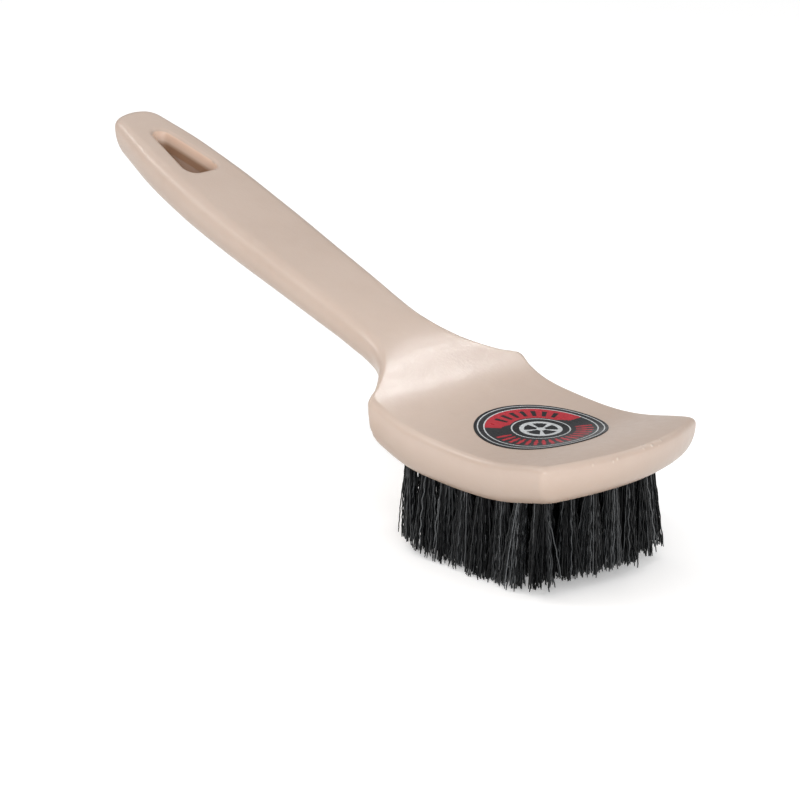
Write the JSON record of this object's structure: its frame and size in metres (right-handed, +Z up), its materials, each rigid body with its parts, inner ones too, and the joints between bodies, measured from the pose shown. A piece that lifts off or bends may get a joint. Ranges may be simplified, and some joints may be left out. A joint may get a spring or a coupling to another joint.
{
  "type": "wheel brush",
  "caption": "Short-handled wheel and tyre brush: a curved moulded head and rising handle with a hang slot, a round label, and rows of black bristle tufts pinned by steel anchors.",
  "frame": {"origin": "middle of the whole brush's footprint, on the plane that the lowest bristle tips touch", "axes": "+X from the handle end towards the head's curved tip, +Y across the head, +Z up; the bristles point down"},
  "size_m": [0.2808, 0.0835, 0.127],
  "materials": {
    "block": "satin moulded, beige",
    "bristle": "crimped black filament",
    "anchor": "flat drawn wire",
    "label": "printed film, semi-gloss"
  },
  "bodies": {
    "root": {"handle_block": "block", "label_disc": "label", "tufts_row_01": "bristle", "tufts_row_02": "bristle", "tufts_row_03": "bristle", "tufts_row_04": "bristle", "tufts_row_05": "bristle", "tufts_row_06": "bristle", "tufts_row_07": "bristle", "tufts_row_08": "bristle", "tuft_anchors_row_01": "anchor", "tuft_anchors_row_02": "anchor", "tuft_anchors_row_03": "anchor", "tuft_anchors_row_04": "anchor", "tuft_anchors_row_05": "anchor", "tuft_anchors_row_06": "anchor", "tuft_anchors_row_07": "anchor", "tuft_anchors_row_08": "anchor"}
  },
  "joints": []
}
